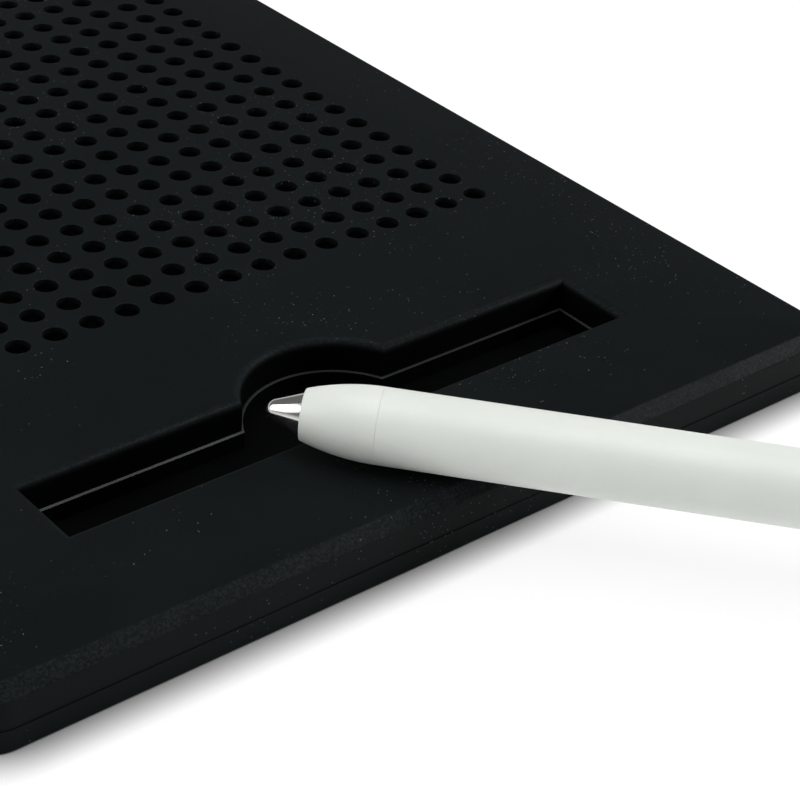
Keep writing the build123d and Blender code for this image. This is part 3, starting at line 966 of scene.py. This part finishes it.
# %% Give out the finishes
def wear(piece, material):
    piece.data.materials.clear()
    piece.data.materials.append(material)


for piece in (case_top, case_back):
    wear(piece, CASE_PLASTIC)
for piece in plastic_pieces:
    wear(piece, STYLUS_PLASTIC)
for piece in bead_pieces:
    wear(piece, BEAD_METAL)
wear(tip_piece, TIP_METAL)
carried_over = {
    "cell_plate": WELL_PAINTED_SHADE,
    "base_sheet": LINER,
    "case_screws": SCREW_METAL,
    "stylus_magnet": MAGNET_METAL,
}
for name, material in carried_over.items():
    wear(nodes[name], material)
print("materials:", len(bpy.data.materials))

# %% [markdown]
# The floor and the light. The floor is white, and the camera sees part of its brightness as a plain
# glow, so it stays white while the board's shadow still darkens it. The glow fades close to the board's
# foot, which paints a tight shadow there. The sky is pale at the horizon and dimmer above. Of the three
# soft lamps, a large one hangs overhead and lights the top, one behind on the left is mirrored in the
# plated tip, and a small one in front on the right is mirrored in the sloping front rim.

# %% Floor and light
HORIZON_LIGHT = 0.7
UPPER_LIGHT = 0.14
HORIZON_RISE = 0.02        # the sky starts to dim at this z of its direction
UPPER_RISE = 0.34          # and is at its dimmest from this one
FLOOR_GLOW = 0.75          # share of the floor's brightness that is glow
GLOW_STRENGTH = 1.05
GLOW_FALL = 3.0            # power of the fall towards what stands close
PAINTED_SHADOW_REACH = 6 * MM           # how far the dark line under the board's foot reaches
FLOOR_HALF = 3.0           # half the floor's side, in metres


def floor_material():
    """Part white paint, part a glow that only the camera, mirrors and glass see. The glow is
    GLOW_STRENGTH times the open share of the view within PAINTED_SHADOW_REACH, to the power GLOW_FALL. So
    it fades where something stands close, and this paints a tight dark shadow at the foot of the board."""
    material, tree, place = new_material("floor_white")
    uneven = add_node(tree, "ShaderNodeTexNoise", Vector=place, Scale=3.0)
    colour = mix(tree, uneven.outputs[0], (0.93, 0.93, 0.93, 1), (0.95, 0.95, 0.95, 1))
    matt = add_node(tree, "ShaderNodeBsdfDiffuse", Color=colour)
    # painted shadow: the glow fades by ambient occlusion close to the board's foot
    openness = add_node(tree, "ShaderNodeAmbientOcclusion", {"samples": 16}, Distance=PAINTED_SHADOW_REACH)
    fall = math_node(tree, "POWER", openness.outputs["AO"], GLOW_FALL)
    strength = math_node(tree, "MULTIPLY", fall, GLOW_STRENGTH)
    glow = add_node(tree, "ShaderNodeEmission", Color=(1, 1, 1, 1), Strength=strength)
    rays = add_node(tree, "ShaderNodeLightPath").outputs
    seen = math_node(tree, "MAXIMUM", rays["Is Camera Ray"], rays["Is Glossy Ray"])
    seen = math_node(tree, "MAXIMUM", seen, rays["Is Transmission Ray"])
    share = math_node(tree, "MULTIPLY", seen, FLOOR_GLOW)
    both = add_node(tree, "ShaderNodeMixShader", i0=share, i1=matt.outputs[0], i2=glow.outputs[0])
    add_node(tree, "ShaderNodeOutputMaterial", Surface=both.outputs[0])
    return material


def add_floor():
    edge = np.array([[-1, -1, 0], [1, -1, 0], [1, 1, 0], [-1, 1, 0]]) * FLOOR_HALF
    mesh = bpy.data.meshes.new("floor")
    mesh.from_pydata(edge.tolist(), [], [(0, 1, 2, 3)])
    floor = bpy.data.objects.new("floor", mesh)
    bpy.context.scene.collection.objects.link(floor)
    mesh.materials.append(floor_material())


def add_lamp(name, place, aim, size, power):
    """A square area lamp that faces its aim."""
    lamp = bpy.data.lights.new(name, "AREA")
    lamp.size = size
    lamp.energy = power
    lamp_object = bpy.data.objects.new(name, lamp)
    bpy.context.scene.collection.objects.link(lamp_object)
    turn = (Vector(aim) - Vector(place)).to_track_quat("-Z", "Y").to_matrix().to_4x4()
    lamp_object.matrix_world = Matrix.Translation(place) @ turn


def set_world():
    """A pale horizon and a dimmer room above it. The brightness falls from HORIZON_LIGHT to UPPER_LIGHT
    as the direction's z grows from HORIZON_RISE to UPPER_RISE."""
    world = bpy.data.worlds.new("world")
    world.use_nodes = True
    tree = world.node_tree
    tree.nodes.clear()
    direction = add_node(tree, "ShaderNodeTexCoord").outputs["Generated"]
    rise = add_node(tree, "ShaderNodeSeparateXYZ", Vector=direction).outputs[2]
    strength = remap(tree, rise, HORIZON_RISE, UPPER_RISE, HORIZON_LIGHT, UPPER_LIGHT)
    sky = add_node(tree, "ShaderNodeBackground", Color=(1, 1, 1, 1), Strength=strength)
    add_node(tree, "ShaderNodeOutputWorld", Surface=sky.outputs[0])
    bpy.context.scene.world = world


add_floor()
set_world()
add_lamp("top_lamp", place=(-0.05, -0.1, 1.1), aim=(0, -0.05, 0), size=0.9, power=7.2)
add_lamp("left_lamp", place=(-0.80, 0.40, 0.62), aim=(-0.02, -0.08, 0), size=0.75, power=4.5)
add_lamp("front_lamp", place=(0.86, -0.58, 0.50), aim=(0.03, -0.1, 0), size=0.3, power=5.6)
bpy.context.scene.view_settings.view_transform = "Standard"
print("lamps:", len(bpy.data.lights))
